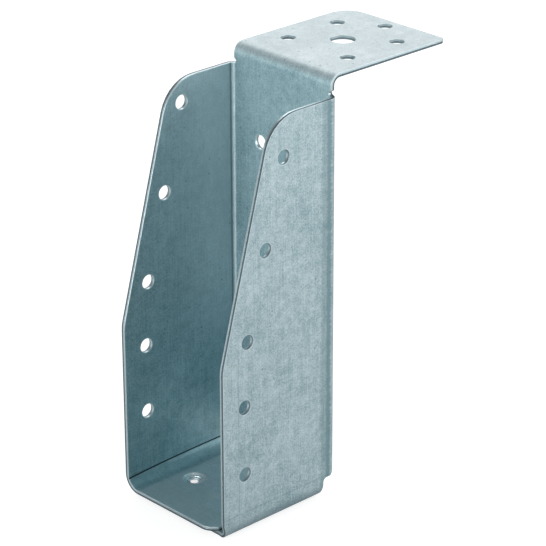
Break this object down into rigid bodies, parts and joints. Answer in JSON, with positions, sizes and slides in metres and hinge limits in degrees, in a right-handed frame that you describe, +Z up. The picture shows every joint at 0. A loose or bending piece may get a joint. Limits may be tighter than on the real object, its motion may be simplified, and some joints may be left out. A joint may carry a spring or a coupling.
{
  "type": "joist hanger",
  "caption": "Folded galvanised sheet hanger that seats the end of a timber joist between two nailed cheeks and hooks over the carrying beam with a flat lip.",
  "frame": {"origin": "where the joist's end and underside meet at mid width: the middle of the seat's top plane, in the plane of the back plate's front face", "axes": "+Z up, +Y from the joist towards the carrying beam, the way the lip reaches, +X across the joist from the left cheek to the right one"},
  "size_m": [0.05, 0.1033, 0.1511],
  "materials": {
    "galvanised_sheet": "hot-dip galvanised steel sheet, dull blue-grey with fine mottling and bright sheared edges"
  },
  "bodies": {
    "root": {"joist_hanger": "galvanised_sheet"}
  },
  "joints": []
}
